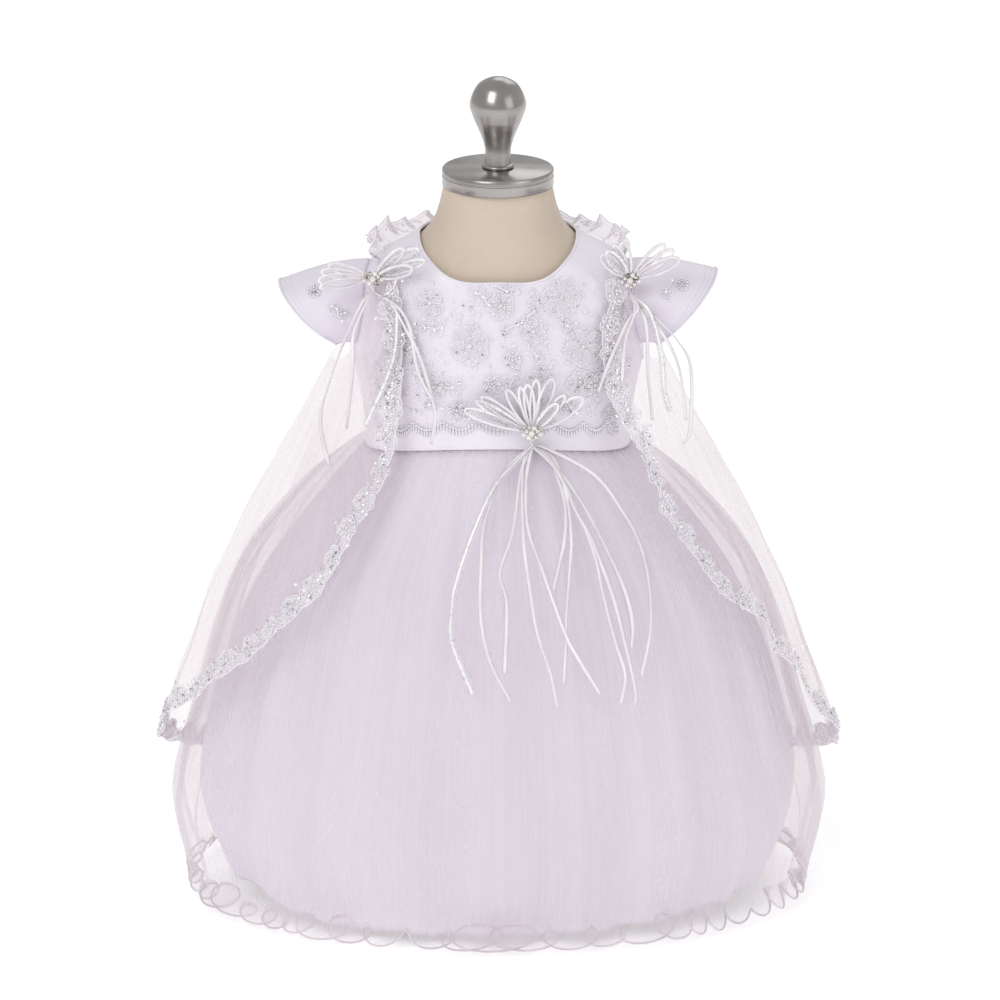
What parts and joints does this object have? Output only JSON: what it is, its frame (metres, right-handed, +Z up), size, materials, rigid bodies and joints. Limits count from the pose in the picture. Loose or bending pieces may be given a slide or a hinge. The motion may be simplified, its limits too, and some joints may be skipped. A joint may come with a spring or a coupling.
{
  "type": "christening gown on a limbless dress form",
  "caption": "Baby's christening gown in satin and tulle with lace, cap sleeves, ribbon bows and a sheer shoulder cape, standing on a limbless dress form.",
  "frame": {"origin": "centre of the form's round foot, on the floor it stands on", "axes": "+Z up, -Y towards the front of the gown, +X to the right as seen from the front"},
  "size_m": [0.4761, 0.3252, 0.5807],
  "materials": {
    "linen": "cream woven cotton cover",
    "steel": "brushed",
    "satin": "white satin with a soft sheen",
    "tulle": "sheer white tulle",
    "lace": "white embroidered lace",
    "ribbon": "narrow satin ribbon",
    "pearl": "pearl"
  },
  "bodies": {
    "root": {"form_foot": "steel", "form_pole": "steel", "form_torso": "linen", "form_neck_cap": "steel", "form_finial": "steel", "bodice_front": "satin", "bodice_back_left": "satin", "bodice_back_right": "satin", "back_button_1": "pearl", "back_button_2": "pearl", "back_button_3": "pearl", "sleeve_left": "satin", "sleeve_right": "satin", "bodice_lace": "lace", "skirt_satin_front": "satin", "skirt_satin_back": "satin", "skirt_tulle_front": "tulle", "skirt_tulle_back": "tulle", "cape_tulle": "tulle", "cape_trim": "lace", "cape_collar": "lace", "bow_waist": "ribbon", "bow_left": "ribbon", "bow_right": "ribbon", "brooch_waist": "pearl", "brooch_left": "pearl", "brooch_right": "pearl"}
  },
  "joints": []
}
